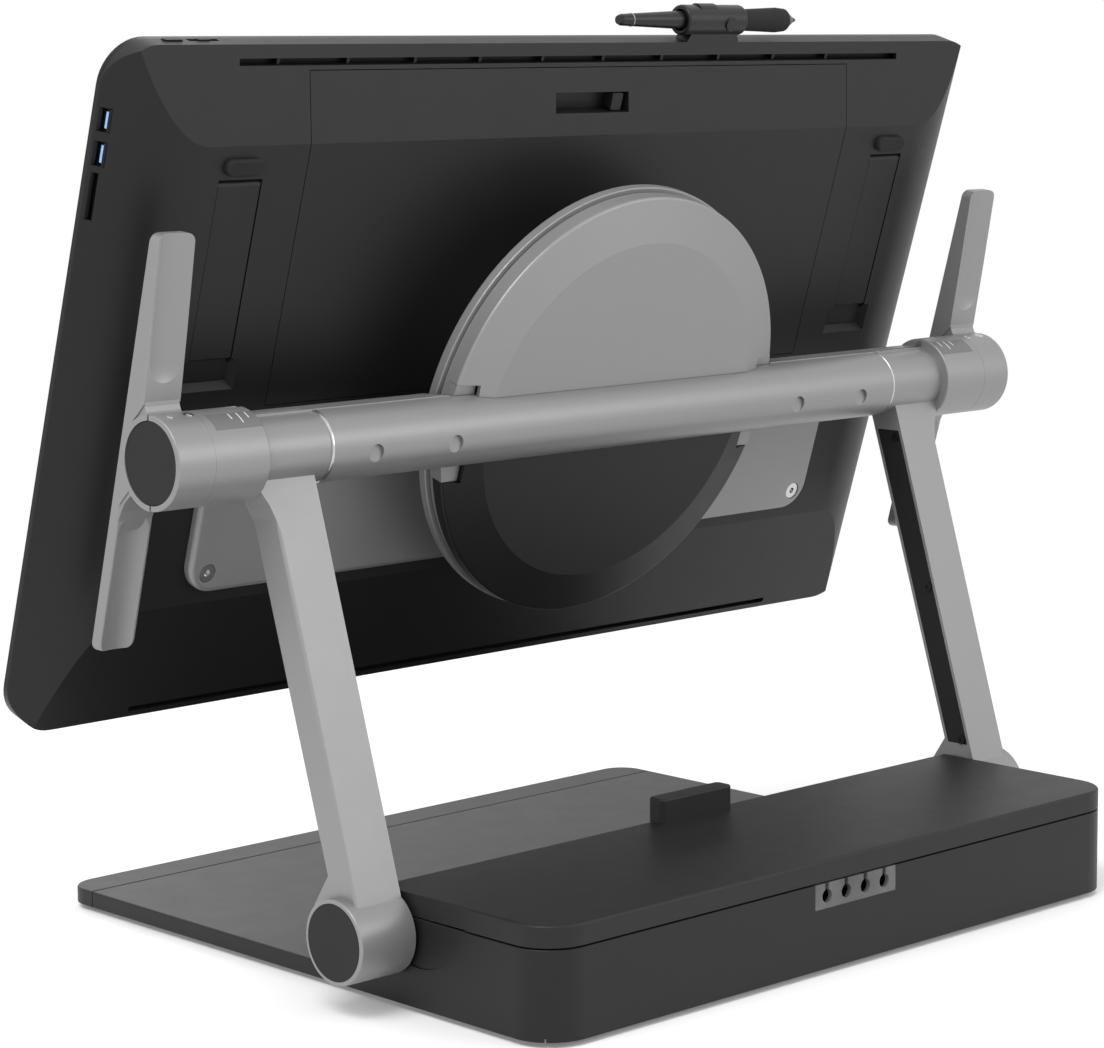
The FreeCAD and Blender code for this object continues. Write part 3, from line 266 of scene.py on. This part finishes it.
CHARCOAL = textured_plastic("charcoal_plastic", 0.0075, 0.46)
LID_BLACK = textured_plastic("lid_plastic", 0.011, 0.50, wear=0.45)
DEEP_BLACK = textured_plastic("deep_black_plastic", 0.004, 0.40)
CAP_BLACK = textured_plastic("cap_plastic", 0.010, 0.60, wear=0.1)
PEN_BLACK = textured_plastic("pen_plastic", 0.007, 0.36, grain=1500.0, sheen=0.15)
SILVER = satin_metal("satin_silver", 0.25)
FRAME_BLACK = satin_metal("black_anodised", 0.020, rough=0.38, metallic=0.8, wear=0.25)
STEEL = satin_metal("bright_steel", 0.55, rough=0.28, metallic=1.0, brushed=(60.0, 1400.0, 1400.0))
BRONZE = satin_metal("sintered_bronze", 0.36, rough=0.45, metallic=1.0)
RUBBER = soft_rubber("black_rubber", 0.008)
GREY_RUBBER = soft_rubber("grey_rubber", 0.085, 0.02)
GLASS = etched_glass("etched_glass")
BLUE = glossy_blue("port_blue")
BOARD = circuit_board("circuit_board")
MODULE_GREY = textured_plastic("module_casing", 0.10, 0.5)
TICK_WHITE = textured_plastic("tick_paint", 0.62, 0.5, wear=0.0)
LABEL_GREY = satin_metal("label_grey", 0.155, rough=0.5, metallic=0.3, wear=0.1)

SLOT_LOOKS = {
    "satin_silver": SILVER,
    "black_plastic": CHARCOAL,
    "lid_plastic": LID_BLACK,
    "frame_metal": FRAME_BLACK,
    "screen_glass": GLASS,
    "rubber_black": RUBBER,
    "rubber_grey": GREY_RUBBER,
    "steel": STEEL,
    "bronze": BRONZE,
    "port_blue": BLUE,
    "board_green": BOARD,
    "panel_grey": MODULE_GREY,
    "pen_gloss": PEN_BLACK,
}
NODE_LOOKS = {
    "end_caps": CAP_BLACK,
    "pivot_caps": CAP_BLACK,
    "vent_grilles": DEEP_BLACK,
    "side_ports": DEEP_BLACK,
    "arm_cover_right": CAP_BLACK,
    "arm_cover_left": CAP_BLACK,
    "arm_cover_screws": DEEP_BLACK,
}


def dress_nodes():
    """Gives every CAD node its material and clean shading."""
    slots = {row["node"]: row["material_slot"] for row in frame["record"]["subparts"]}
    for name, node in NODES.items():
        look = NODE_LOOKS.get(name) or SLOT_LOOKS[slots[name]]
        node.data.materials.clear()
        node.data.materials.append(look)
        node.data.polygons.foreach_set("use_smooth", [True] * len(node.data.polygons))
        node.data.set_sharp_from_angle(angle=math.radians(SHARP_ANGLE))


# ---------------------------------------------------------------- mesh helpers
def finish_piece(name, mesh, body, look, smooth=35):
    """Turns a bmesh into a smooth-shaded piece with its material, riding on a body."""
    mesh.normal_update()
    data = bpy.data.meshes.new(name)
    mesh.to_mesh(data)
    mesh.free()
    data.polygons.foreach_set("use_smooth", [True] * len(data.polygons))
    data.set_sharp_from_angle(angle=math.radians(smooth))
    data.materials.append(look)
    piece = bpy.data.objects.new(name, data)
    scene.collection.objects.link(piece)
    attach(piece, body)
    return piece


def ring_profile(mesh, profile, place, sides=48):
    """Turns an outline of (radius, height) pairs about the local Z axis and closes it on itself."""
    rows = []
    for number in range(sides):
        turn = 2 * math.pi * number / sides
        row = []
        for radius, height in profile:
            spot = Vector((radius * math.cos(turn), radius * math.sin(turn), height))
            row.append(mesh.verts.new(place @ spot))
        rows.append(row)
    count = len(profile)
    for number in range(sides):
        here, there = rows[number], rows[(number + 1) % sides]
        for k in range(count):
            mesh.faces.new((here[k], there[k], there[(k + 1) % count], here[(k + 1) % count]))


def bent_plate(mesh, x_low, x_high, radius, thick, angles, steps=10):
    """A thin plate wrapped on the crossbar's end.

    The angles run from the top towards the rear, in degrees.
    """
    start, stop = (math.radians(a) for a in angles)
    columns = []
    for number in range(steps + 1):
        turn = start + (stop - start) * number / steps
        column = []
        for x in (x_low, x_high):
            for r in (radius, radius + thick):
                spot = (x, BAR.y + r * math.sin(turn), BAR.z + r * math.cos(turn))
                column.append(mesh.verts.new(spot))
        columns.append(column)
    for here, there in zip(columns, columns[1:]):
        for a, b in ((0, 1), (1, 3), (3, 2), (2, 0)):
            mesh.faces.new((here[a], here[b], there[b], there[a]))
    mesh.faces.new([columns[0][k] for k in (0, 2, 3, 1)])
    mesh.faces.new([columns[-1][k] for k in (1, 3, 2, 0)])


def turned_to(direction, spot):
    """A placement whose local Z runs along direction."""
    place = Vector(direction).to_track_quat("Z", "Y").to_matrix().to_4x4()
    place.translation = spot
    return place


# ---------------------------------------------------------------- small parts
SIDES = (("right", 1), ("left", -1))


def make_angle_scales():
    """Dark angle scales with light ticks on the arm heads, beside the top slots."""
    for side, sign in SIDES:
        x0, x1 = sorted((sign * 275.0 * MM, sign * 305.0 * MM))
        plate = bmesh.new()
        bent_plate(plate, x0, x1, HEAD_RADIUS + 0.01 * MM, 0.06 * MM, (22, 50))
        finish_piece("scale_plate_" + side, plate, "arms", LABEL_GREY)
        ticks = bmesh.new()
        for number in range(3):
            reach = 42 if number == 1 else 35
            x = sign * (280.0 + 5.5 * number) * MM
            low, high = x - 0.3 * MM, x + 0.3 * MM
            bent_plate(ticks, low, high, HEAD_RADIUS + 0.07 * MM, 0.05 * MM, (24, reach), 6)
        finish_piece("scale_ticks_" + side, ticks, "arms", TICK_WHITE)


def make_screw_washers():
    """Bright countersunk rings round the end screws."""
    for side, sign in SIDES:
        mesh = bmesh.new()
        for centre in screw_centres("end_screws", sign):
            offset = centre.y - BAR.y
            outward = Vector((0, offset, math.sqrt(HEAD_RADIUS ** 2 - offset ** 2)))
            place = turned_to(outward, Vector((centre.x, BAR.y, BAR.z)) + outward)
            profile = [(1.2, -0.6), (1.2, -0.1), (1.9, 0.14), (2.9, 0.08), (2.9, -0.6)]
            ring_profile(mesh, [(r * MM, h * MM) for r, h in profile], place, 32)
        finish_piece("screw_washers_" + side, mesh, "crossbar", STEEL)


def screw_centres(node, sign):
    """The middle of each separate solid of a node on one side."""
    found = []
    for vertex in NODES[node].data.vertices:
        if vertex.co.x * sign < 0:
            continue
        for group in found:
            if (group[0] - vertex.co).length < 12 * MM and abs(group[0].x - vertex.co.x) < 6 * MM:
                group.append(vertex.co)
                break
        else:
            found.append([vertex.co])
    return [sum(group, Vector()) / len(group) for group in found]


def make_bar_rims():
    """Bright turned rims at the ends of the crossbar's middle tube."""
    for side, sign in SIDES:
        mesh = bmesh.new()
        place = turned_to((sign, 0, 0), Vector((sign * TUBE_END, BAR.y, BAR.z)))
        profile = [
            (20.05, -0.9),
            (20.32, -0.7),
            (20.32, 0.1),
            (19.7, 0.5),
            (19.4, 0.3),
            (19.4, -0.9),
        ]
        ring_profile(mesh, [(r * MM, h * MM) for r, h in profile], place, 96)
        finish_piece("bar_rim_" + side, mesh, "crossbar", STEEL)


def make_pen_rings():
    """Thin bright rings on the pen's tail and at the clip's mouth."""
    barrel_low, barrel_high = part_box("pen_barrel")
    centre_y = (barrel_low.y + barrel_high.y) / 2
    centre_z = (barrel_low.z + barrel_high.z) / 2
    mouth_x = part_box("pen_holder")[1].x
    rings = (
        ("pen_tail_ring", "pen", barrel_high.x - 10 * MM, 4.05, 0.5, STEEL),
        ("pen_collar_ring", "pen", barrel_low.x + 1.2 * MM, 6.45, 0.8, STEEL),
        ("clip_mouth_ring", "display", mouth_x - 0.5 * MM, 7.9, 1.4, FRAME_BLACK),
    )
    for name, body, x, radius, wide, look in rings:
        mesh = bmesh.new()
        place = turned_to((1, 0, 0), Vector((x, centre_y, centre_z)))
        inner = radius - 0.55
        half = wide / 2
        profile = [(inner, -half), (radius, -half), (radius + 0.12, 0), (radius, half), (inner, half)]
        ring_profile(mesh, [(r * MM, h * MM) for r, h in profile], place, 48)
        finish_piece(name, mesh, body, look)


# ---------------------------------------------------------------- stage, lights and camera
def make_stage():
    """A plain pale floor that fades to white away from the object."""
    floor_mesh = bmesh.new()
    bmesh.ops.create_grid(floor_mesh, x_segments=2, y_segments=2, size=FLOOR_HALF)
    data = bpy.data.meshes.new("floor")
    floor_mesh.to_mesh(data)
    floor_mesh.free()
    g = Graph("floor_paper")
    cloud = g.noise(2.0, 2.0)
    length = g.add("ShaderNodeVectorMath", operation="LENGTH")
    g.link(g.place, length.inputs[0])
    far = g.spread(length.outputs["Value"], 0.35, 1.1, 0.12, 1.0)
    paper = g.mix(cloud, grey(0.88), grey(0.92))
    g.set(Base_Color=g.mix(far, paper, grey(0.0)), Roughness=g.spread(cloud, 0.3, 0.7, 0.8, 0.9))
    g.set(Specular_IOR_Level=0.0, Emission_Color=grey(1.0), Emission_Strength=far)
    data.materials.append(g.material)
    floor = bpy.data.objects.new("floor", data)
    floor.location.z = -FLOOR_DROP
    scene.collection.objects.link(floor)


def soft_box(name, spot, target, size, power):
    """A rectangular area lamp aimed at a point."""
    lamp = bpy.data.lights.new(name, "AREA")
    lamp.shape = "RECTANGLE"
    lamp.size, lamp.size_y = size
    lamp.energy = power
    holder = bpy.data.objects.new(name, lamp)
    holder.location = spot
    holder.rotation_euler = (Vector(target) - Vector(spot)).to_track_quat("-Z", "Y").to_euler()
    scene.collection.objects.link(holder)


def make_lights():
    """An even white surround, with a key lamp and two weaker fills."""
    world = bpy.data.worlds.new("studio")
    world.use_nodes = True
    world.node_tree.nodes["Background"].inputs["Color"].default_value = (1, 1, 1, 1)
    world.node_tree.nodes["Background"].inputs["Strength"].default_value = 1.0
    scene.world = world
    middle = (0, 0, 0.28)
    soft_box("key_light", (1.6, 0.6, 2.2), middle, (1.4, 1.0), 38)
    soft_box("rear_fill", (-1.2, 2.2, 1.1), middle, (1.6, 1.2), 14)
    soft_box("front_fill", (-0.6, -2.4, 1.6), middle, (2.0, 1.4), 16)


def make_camera():
    """The camera stands behind the display, on the user's right, a little above the crossbar."""
    back = Vector(CAMERA_BACK).normalized()
    right = Vector((0, 0, 1)).cross(back).normalized()
    up = back.cross(right)
    roll = math.radians(CAMERA_ROLL)
    side = right * math.cos(roll) + up * math.sin(roll)
    top = back.cross(side)
    data = bpy.data.cameras.new("camera")
    data.sensor_fit = "HORIZONTAL"
    data.sensor_width = CAMERA_SENSOR
    data.lens = CAMERA_LENS
    data.clip_start = 0.05
    data.clip_end = 100.0
    camera = bpy.data.objects.new("camera", data)
    turn = Matrix((side, top, back)).transposed().to_4x4()
    turn.translation = CAMERA_SPOT
    camera.matrix_world = turn
    scene.collection.objects.link(camera)
    scene.camera = camera


make_camera()
make_lights()
make_stage()
dress_nodes()
make_angle_scales()
make_screw_washers()
make_bar_rims()
make_pen_rings()
scene.view_settings.view_transform = "Standard"
